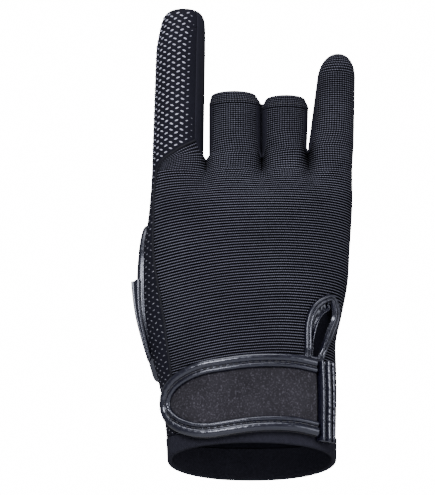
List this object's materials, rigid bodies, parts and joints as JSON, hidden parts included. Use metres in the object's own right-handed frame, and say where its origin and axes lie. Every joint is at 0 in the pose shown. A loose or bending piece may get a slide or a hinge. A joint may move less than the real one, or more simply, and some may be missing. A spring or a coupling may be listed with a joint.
{
  "type": "bowling glove",
  "caption": "Right-hand bowling glove in worn form: ribbed knit back, dotted grip palm and index finger, two open finger stalls, thumb hole and padded wrist strap.",
  "frame": {"origin": "The middle of the cuff mouth, where a hand goes in.", "axes": "+Z from the cuff to the fingertips; the back of the hand faces -Y and the palm +Y; the thumb side is -X and the little finger is on the +X side."},
  "size_m": [0.0961, 0.0472, 0.2065],
  "materials": {
    "ribbed_knit": "ribbed stretch knit",
    "dotted_grip": "smooth knit with glossy grip dots",
    "smooth_cloth": "plain matte",
    "leatherette": "grained, satin",
    "brushed_cloth": "brushed matte",
    "cuff_knit": "fine matte knit"
  },
  "bodies": {
    "root": {"back_panel": "ribbed_knit", "palm_panel": "dotted_grip", "fourchette_index_middle": "smooth_cloth", "fourchette_middle_ring": "smooth_cloth", "fourchette_ring_little": "smooth_cloth", "middle_hem": "ribbed_knit", "ring_hem": "ribbed_knit", "thumb_binding": "leatherette", "cuff_band": "cuff_knit", "slit_binding": "leatherette", "slit_gusset": "smooth_cloth", "cuff_edge_tape": "leatherette", "strap": "brushed_cloth", "strap_binding": "leatherette", "strap_fastener": "brushed_cloth"}
  },
  "joints": []
}
